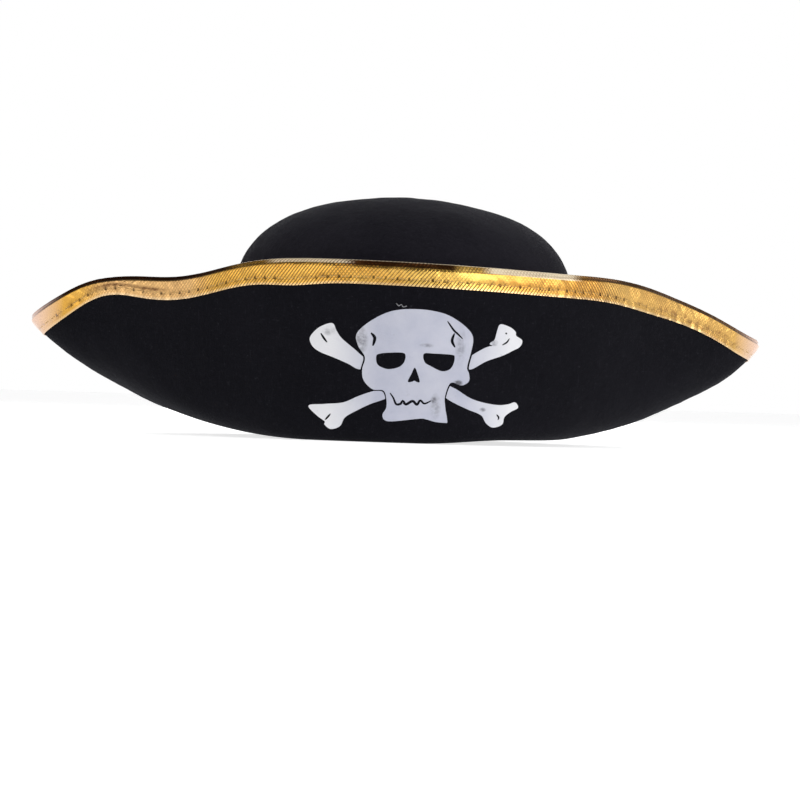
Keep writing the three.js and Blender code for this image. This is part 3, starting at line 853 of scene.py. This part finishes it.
def sweatband(ribbon, yarn, cloth):
    """The ribbon with its lapped end and its stitches, and the blank label that hangs from its foot."""
    lifts = BAND["lift"] + np.linspace(0, BAND["height"], 25)
    rim = 0.12 * bump(lifts, lifts[-1], 0.5) + 0.12 * bump(lifts, lifts[0], 0.5)
    flare = ease((lifts - 8) / 22)
    face = BAND["gap"] + BAND["thick"]
    clear, half = 0.4 / OPENING[1], 7 / OPENING[1]
    angles = np.linspace(BACK + clear, BACK + TAU - clear, 1200)
    u = angles * ROUND
    loose = flare * (0.5 + 0.45 * ripple(u, 60, 11) + 0.2 * ripple(u, 23, 12))[:, None]
    band = strip("sweatband_ribbon", angles, (BAND["gap"], face), 0, lifts, np.maximum(loose, 0), rim)
    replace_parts(ribbon.on(band), "sweatband")

    angles = np.linspace(BACK - half, BACK + half, 40)
    wide = np.maximum(np.interp(angles, angles[[0, -1]], loose[[-1, 0], -1]), 0)
    inside = face + 0.45
    insets = inside, inside + BAND["thick"]
    lap = strip("sweatband_end_lap", angles, insets, 0, lifts, wide[:, None] * flare / flare[-1], rim)
    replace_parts(ribbon.on(lap), "sweatband_lap")

    row = BAND["lift"] + BAND["seam"]
    starts = np.arange(BACK + 0.09, BACK + TAU - 0.09, 4.2 / ROUND)
    parts = [inside_stitch((t + 0.006, row), (t + 3.4 / ROUND, row), face) for t in starts]
    for at in (BACK - 0.052, BACK + 0.052):
        parts += [inside_stitch((at, z), (at, z + 2.6), insets[1] + 0.05) for z in np.arange(3.5, 26, 3.6)]
    first, width, foot = LABEL["at"], LABEL["width"] / OPENING[0], row + 1.7
    hold = foot + 0.8
    for t in np.linspace(first + 0.01, first + width - 0.04, 8):
        parts.append(inside_stitch((t, hold), (t + 0.022, hold), face + 0.62))
    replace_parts(yarn.on(join("sweatband_stitching", parts)), "sweatband_thread")

    angles = np.linspace(first, first + width, 60)
    up = np.linspace(0, LABEL["height"], 28)
    across = np.abs(np.linspace(-1, 1, 60))[:, None]
    curl = 0.9 * ease(up / LABEL["height"]) ** 2 + 1.3 * ease((across - 0.6) / 0.4) * ease((up - 9) / 11)
    swell = curl + np.maximum(read_at(loose, u, angles * ROUND, lifts, foot + up), 0)
    insets = face + 0.3, face + 0.62
    label = strip("blank_label", angles, insets, foot, up, swell, 0, LABEL["radius"])
    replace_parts(cloth.on(label), "care_label")
    return band, lap, label


def read_at(field, u, new_u, v, new_v):
    """A field on a u by v grid, read at other places."""
    along = np.stack([np.interp(new_u, u, column) for column in field.T], axis=1)
    return np.stack([np.interp(new_v, v, line) for line in along])


def crown_seam(yarn):
    """Overcast stitches that hold the crown's foot to the brim's margin."""
    draw = np.random.default_rng(31)
    foot = (CROWN["x"], CROWN["y"])
    parts = []
    for start in np.arange(0, TAU, 5.0 / 96):
        out, up = draw.normal(0, 0.15, 2)
        low = on_oval([a + 1.9 + out for a in foot], np.array([start]), FELT + 0.05)[0]
        high = on_oval([a + 0.25 for a in foot], np.array([start + 2.4 / 96]), FELT + 3.2 + up)[0]
        away = unit(np.array([math.cos(start), math.sin(start), 0.7]))
        parts.append(strand((low, high), away, 0.35, 0.3, sink=0.7))
    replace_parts(yarn.on(join("crown_seam_stitches", parts)), "crown_seam_thread")


# --- Print and tacks ---

# Outlines across and up, in millimetres
SKULL = [
    (-2, 62), (-14, 61), (-23.5, 56.5), (-30.2, 50.3), (-29.8, 44.7), (-26.4, 39.2), (-27.4, 33.5),
    (-26.6, 28.5), (-22.5, 24.5), (-17.5, 24), (-16, 20), (-16, 16), (-17.5, 13), (-16.5, 10.5),
    (-12.5, 10), (-0.5, 11.6), (2.5, 11.4), (7, 10.3), (11.8, 10.0), (12.5, 10.3), (12.2, 12.5), (11.2, 17.5),
    (11, 22.5), (13.5, 28.5), (18.5, 27.5), (22, 29.5), (22, 33), (21, 36), (22.5, 42.5), (23.5, 48.5),
    (22, 52.5), (16.5, 57), (9, 60.5),
]
SKULL_HOLES = [
    [(-21.3, 39.8), (-19.6, 41), (-15, 41.6), (-9.2, 41.7), (-7.9, 40.2), (-8.6, 37.2), (-11, 35), (-16, 34),
     (-20.5, 35.9)],
    [(0.6, 41.6), (5.5, 41.8), (13.8, 41.5), (15, 40.3), (14.4, 37), (12.6, 34.6), (9, 33.8),
     (4.2, 35.8), (1, 37.8)],
    [(-3.5, 35), (-2, 32), (-1, 28.5), (-2.5, 28.5), (-3.5, 29), (-4.5, 28.5), (-6.5, 28.5), (-5, 32)],
]
# Lines scratched out of the print: points and the widest place of each, in millimetres
SKULL_LINES = [
    ([(-14.5, 23), (-13, 21), (-11.5, 18), (-9.5, 18.2), (-8.5, 19.5), (-7, 18), (-4, 19.6), (-2, 18),
      (-0.5, 20.0), (1.5, 18.6), (4.5, 20)], 1.25),
    ([(-24, 50.5), (-22.3, 48.5), (-22.4, 46.5), (-23, 44.5)], 1.5),
    ([(11, 57), (14, 53), (16, 51.3), (18.5, 49)], 1.0),
    ([(14.5, 51.5), (13.5, 48), (15, 45)], 1.4),
]
# Places where the film is rubbed thin: middle, half width and half height in millimetres, and how far
RUBBED = [
    ((-28.3, 46.9), (2.8, 5.4), 0.75), ((17.6, 46), (2.2, 8), 0.5), ((6.6, 17.2), (2.2, 5.5), 0.5),
    ((5.6, 20.4), (1.4, 1.4), 1.0), ((16.9, 28.4), (2.0, 1.5), 1.4), ((1.8, 45.5), (3, 0.8), 0.6),
    ((33.4, 47.8), (2, 1.4), 0.8), ((29.1, 16.6), (1.4, 0.9), 0.8), ((-42.7, 51), (2.8, 2), 0.6),
]
BONES = {
    "bone_upper_left": ([
        (-41.5, 54.5), (-46.5, 53), (-50, 50), (-51.5, 47), (-50, 43.5), (-46.5, 41), (-40, 38.5),
        (-34, 36), (-28.5, 33.5), (-24.5, 37), (-28, 40), (-31.5, 43), (-37, 47.5), (-39.5, 51),
    ], [([(-46.6, 49.8), (-45.2, 47.6), (-43.6, 45.6)], 1.0)]),
    "bone_upper_right": ([
        (36.5, 56.5), (41, 55.5), (44, 53.5), (44.5, 51.5), (47.5, 49.5), (46.5, 46.5), (43, 44.5),
        (38, 42), (30, 39), (22.5, 35), (19.5, 38), (21.5, 40.5), (28, 44.6), (31.2, 46), (33, 46.4),
        (31.6, 47), (32, 47.9), (33.9, 49.4), (35, 53.5),
    ], [([(41.2, 50.2), (39.8, 48.2), (37.6, 46.9)], 0.8), ([(39.0, 52.6), (39.9, 52.2)], 0.9)]),
    "bone_lower_left": ([
        (-51, 16), (-44, 17), (-35.5, 18), (-29, 21), (-22.5, 23.5), (-16.5, 25), (-15.5, 21),
        (-23.5, 17.5), (-30, 14), (-34.5, 11), (-36.5, 7), (-40.5, 5.5), (-43.5, 7.5),
        (-43.5, 9), (-47, 11.5),
    ], [([(-41.0, 12.6), (-42.2, 11.0), (-43.4, 9.6)], 0.9)]),
    "bone_lower_right": ([
        (8.5, 28.5), (15.5, 26), (22.5, 22), (29, 20), (36.5, 19), (41.5, 19.5), (45, 20.5), (46.5, 18),
        (43, 16), (40, 13.5), (39, 10), (34.5, 8.5), (31, 10.5), (28.5, 14), (22, 16.5), (16, 19),
        (11.5, 21.5), (8.5, 25),
    ], [([(36.0, 14.6), (37.2, 13.2), (36.8, 12.0)], 0.9)]),
}


def catmull(a, b, c, d, t):
    """Points of a Catmull-Rom curve between b and c."""
    return 0.5 * (2 * b + (c - a) * t + (2 * a - 5 * b + 4 * c - d) * t**2 + (3 * b - a - 3 * c + d) * t**3)


def spline(points, step=0.45, closed=True):
    """A smooth curve through points, at about even steps."""
    p = np.asarray(points, float)
    count = len(p)
    index = np.arange(count if closed else count - 1)[:, None] + np.arange(-1, 3)
    index = index % count if closed else np.clip(index, 0, count - 1)
    t = np.linspace(0, 1, 24, endpoint=False)[:, None]
    curve = catmull(*(p[index[:, i]][:, None] for i in range(4)), t).reshape(-1, 2)
    curve = np.concatenate([curve, curve[:1] if closed else p[-1:]])
    length = lengths(curve)
    places = np.linspace(0, length[-1], max(6, int(length[-1] / step)) + 1)
    curve = np.stack([np.interp(places, length, curve[:, i]) for i in (0, 1)], axis=1)
    return curve[:-1] if closed else curve


def spline_in_space(points, count):
    """A smooth curve through points in space, at even parameter steps."""
    p = np.asarray(points, float)
    t = np.linspace(0, len(p) - 1.0001, count)
    index = np.clip(t.astype(int)[:, None] + np.arange(-1, 3), 0, len(p) - 1)
    return catmull(*(p[index[:, i]] for i in range(4)), (t % 1)[:, None])


def scratch(points, width):
    """The outline of a brush line that swells in the middle and thins to its ends."""
    line = spline(points, 0.5, closed=False)
    along = unit(np.gradient(line, axis=0))
    side = np.stack([-along[:, 1], along[:, 0]], axis=1)
    t = np.linspace(0, 1, len(line))
    half = width / 2 * (0.35 + 0.65 * np.sin(math.pi * t) ** 0.7)
    return np.concatenate([line + side * half[:, None], (line - side * half[:, None])[::-1]])


def within(points, polygon):
    """Which points lie inside a polygon."""
    x, y = points[:, :1], points[:, 1:]
    a, b = polygon, np.roll(polygon, -1, axis=0)
    crosses = (a[:, 1] > y) != (b[:, 1] > y)
    with np.errstate(divide="ignore", invalid="ignore"):
        at = a[:, 0] + (y - a[:, 1]) * (b[:, 0] - a[:, 0]) / (b[:, 1] - a[:, 1])
    return (crosses & (x < at)).sum(axis=1) % 2 == 1


def film_shape(outline, holes, step=1.3):
    """Triangles of a flat shape with holes: points (n, 2) and index triples."""
    loops = [outline] + holes
    edge = np.concatenate(loops)
    x, z = (np.arange(outline[:, i].min(), outline[:, i].max(), step) for i in (0, 1))
    grid = np.stack(np.meshgrid(x, z), -1).reshape(-1, 2)
    grid = grid[within(grid, outline)]
    near = np.linalg.norm(grid[:, None] - edge[None], axis=-1).min(axis=1)
    edges, start = [], 0
    for loop in loops:
        edges += [(start + i, start + (i + 1) % len(loop)) for i in range(len(loop))]
        start += len(loop)
    points = [Vector(p) for p in np.concatenate([edge, grid[near > 0.45]])]
    found, _, triangles, *_ = delaunay_2d_cdt(points, edges, [], 0, 1e-4)
    found, triangles = np.array([tuple(p) for p in found]), np.array(triangles)
    middle = found[triangles].mean(axis=1)
    keep = within(middle, outline)
    for hole in holes:
        keep &= ~within(middle, hole)
    used, index = np.unique(triangles[keep], return_inverse=True)
    return found[used], index.reshape(-1, 3)


def off_flap(flap, x, z, side, gaps):
    """Points at gaps off the flap, where a line across and up meets it from the front (-1) or the back."""
    origin = Vector(((x + SHIFT[0]) * MM, 0.2 * side, z * MM))
    hit, normal, *_ = flap.ray_cast(origin, Vector((0, -side, 0)))
    normal = normal if normal.y * side > 0 else -normal
    return [np.array((hit + normal * gap * MM) / MM) - (*SHIFT, 0) for gap in gaps]


def film_piece(name, film, flap, outline, holes):
    """A closed film on the front flap, in two layers with walls along its open edges."""
    flat, triangles = film_shape(outline, holes)
    layers = [off_flap(flap, x, z, -1, (0.24, 0.05)) for x, z in flat]
    points = np.concatenate(np.swapaxes(layers, 0, 1))
    count = len(flat)
    pairs = np.concatenate([triangles[:, [i, (i + 1) % 3]] for i in range(3)])
    known = {tuple(p) for p in pairs.tolist()}
    walls = [[a + count, b + count, b, a] for a, b in known if (b, a) not in known]
    faces = triangles.tolist() + (triangles[:, ::-1] + count).tolist() + walls
    piece = film.on(make(name, points, outward(points, faces), uv=np.concatenate([flat, flat])))
    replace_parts(piece, name if name in BONES else "skull")


def motif(film, flap):
    """The skull with its holes, and four bones that stop short of it."""
    head = spline(SKULL)
    holes = [spline(h) for h in SKULL_HOLES] + [scratch(*line) for line in SKULL_LINES]
    film_piece("skull_print", film, flap, head, holes)
    middle = np.array([-4, 38])
    room = (head - middle) * 1.035 + middle
    for name, (outline, lines) in BONES.items():
        film_piece(name, film, flap, spline(outline), [room] + [scratch(*line) for line in lines])


def tack(name, node, yarn, flap, side, outside):
    """A thread through the flap that holds it to the crown: a squiggle outside, two strands behind."""
    surface = np.array([off_flap(flap, x, z, side, [0])[0] for x, z in outside])
    out = np.array([0, side, 0])
    path = np.concatenate([surface[:1] - out * 1.2, surface + out * 0.22, surface[-1:] - out * 1.2])
    parts = [tube(spline_in_space(path, 60), 0.2)]
    low, high = (np.array(corner) / MM - (*SHIFT, 0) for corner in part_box(node))
    x, _, z = (low + high) / 2
    at_flap, at_crown = (low[1] - 0.9, high[1] + 0.9)[::-side]
    start, end = np.array([x, at_flap, z]), np.array([x, at_crown, z])
    t = np.linspace(0, 1, 40)
    for turn in (0, math.pi):
        twist = turn + t * TAU * 1.5
        sway = stack(0.32 * np.cos(twist), 0 * t, 0.32 * np.sin(twist) - 0.9 * np.sin(math.pi * t))
        parts.append(tube(start + (end - start) * t[:, None] + sway, 0.22))
    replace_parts(yarn.on(join(name, parts)), node)


# --- Stage ---

def floor():
    """A wide white floor, just under the hat."""
    side, cells = 30.0, 24
    line = np.linspace(-side, side, cells + 1)
    x, y = np.meshgrid(line, line)
    points = stack(x, y, 0 * x - 0.0002).reshape(-1, 3)
    corners = [i * (cells + 1) + j for i in range(cells) for j in range(cells)]
    faces = [[a, a + 1, a + cells + 2, a + cells + 1] for a in corners]
    mesh = bpy.data.meshes.new("floor")
    mesh.from_pydata(points.tolist(), [], faces)
    ground = bpy.data.objects.new("floor", mesh)
    bpy.context.scene.collection.objects.link(ground)
    look = Look("pale_floor", None)
    soft = look.noise(900, 2, 0.5)
    look.finish(look.blend(soft, (0.86, 0.86, 0.87), (0.9, 0.9, 0.91)), 0.8, look.relief(soft, 0.2),
                Emission_Color=(1, 1, 1, 1), Emission_Strength=0.72)
    mesh.materials.append(look.material)


def area(name, at, size, power):
    """A soft light of a width and height, aimed at the middle of the hat."""
    data = bpy.data.lights.new(name, "AREA")
    data.shape, (data.size, data.size_y), data.energy = "RECTANGLE", size, power
    lamp = bpy.data.objects.new(name, data)
    lamp.location = at
    lamp.rotation_euler = (Vector((0, 0, 0.05)) - Vector(at)).to_track_quat("-Z", "Y").to_euler()
    bpy.context.scene.collection.objects.link(lamp)


def world():
    """A white studio: bright all round, dimmer overhead."""
    sky = bpy.data.worlds.new("studio")
    sky.use_nodes = True
    bpy.context.scene.world = sky
    nodes, links = sky.node_tree.nodes, sky.node_tree.links
    place = nodes.new("ShaderNodeTexCoord")
    parts = nodes.new("ShaderNodeSeparateXYZ")
    fade = nodes.new("ShaderNodeMapRange")
    fade.interpolation_type = "SMOOTHSTEP"
    for name, value in (("From Min", 0.16), ("From Max", 0.55), ("To Min", 1.0), ("To Max", 0.12)):
        fade.inputs[name].default_value = value
    links.new(place.outputs["Generated"], parts.inputs[0])
    links.new(parts.outputs[2], fade.inputs["Value"])
    links.new(fade.outputs[0], nodes["Background"].inputs["Strength"])
    nodes["Background"].inputs["Color"].default_value = (1, 1, 1, 1)


def camera():
    """A long lens from the front, turned by yaw and leaning by roll."""
    yaw, roll, far, height = math.radians(5), math.radians(1.8), 1.5, 0.0199
    right = Vector((math.cos(yaw), -math.sin(yaw), 0))
    ahead = Vector((math.sin(yaw), math.cos(yaw), 0))
    up = Vector((0, 0, 1))
    across = right * math.cos(roll) + up * math.sin(roll)
    upward = up * math.cos(roll) - right * math.sin(roll)
    data = bpy.data.cameras.new("camera")
    data.lens, data.sensor_width = 135.36, 36
    eye = bpy.data.objects.new("camera", data)
    at = Vector((0.0015, 0, height)) - ahead * far
    eye.matrix_world = Matrix.Translation(at) @ Matrix((across, upward, -ahead)).transposed().to_4x4()
    bpy.context.scene.collection.objects.link(eye)
    bpy.context.scene.camera = eye


camera()
world()
floor()
area("key", (2.0, -1.7, 0.5), (2.4, 2.4), 38)
area("fill", (-1.7, -1.3, 0.6), (1.4, 1.4), 5)
area("strip_right", (1.1, -0.26, 1.62), (1.7, 0.7), 2.6)
area("strip_left", (-1.11, -0.64, 1.53), (0.7, 0.5), 2.2)
area("back", (0.3, 2.2, 0.9), (1.6, 1.6), 20)
bpy.context.scene.view_settings.view_transform = "Standard"

felt_brim = brim(felt_look("brim_felt", (0.0025, 0.0025, 0.0042), (0.0066, 0.0063, 0.0092)))
# Painted light: the crown's felt is given a lighter colour than the brim's, standing in for the light that
# falls on the dome
felt_crown = crown(felt_look("crown_felt", (0.0072, 0.0066, 0.0102), (0.0190, 0.0178, 0.0240)))
gold_tape, tape_lap = binding(gold_look())
binding_thread(thread_look("gold_yarn", "gold_thread", (0.62, 0.38, 0.12), (0.88, 0.62, 0.26), 0.0, 0.6))
black = thread_look("black_yarn", "black_thread", (0.008, 0.008, 0.009), (0.03, 0.03, 0.033))
band, band_lap, label = sweatband(ribbon_look(), black, label_look())
crown_seam(black)
flap = BVHTree.FromObject(felt_brim, bpy.context.evaluated_depsgraph_get())
motif(film_look(), flap)
grey = thread_look("grey_yarn", "tack_thread", (0.25, 0.25, 0.27), (0.55, 0.55, 0.58))
squiggle = [(-12.8, 64.3), (-11.7, 63.3), (-10.6, 64.0), (-9.7, 62.9), (-8.2, 63.3)]
tack("front_tack_thread", "front_tack", grey, flap, -1, squiggle)
squiggle = [(-2.2, 61.4), (-0.8, 60.8), (0.6, 61.3), (2.0, 60.7)]
tack("rear_tack_thread", "rear_tack", grey, flap, 1, squiggle)
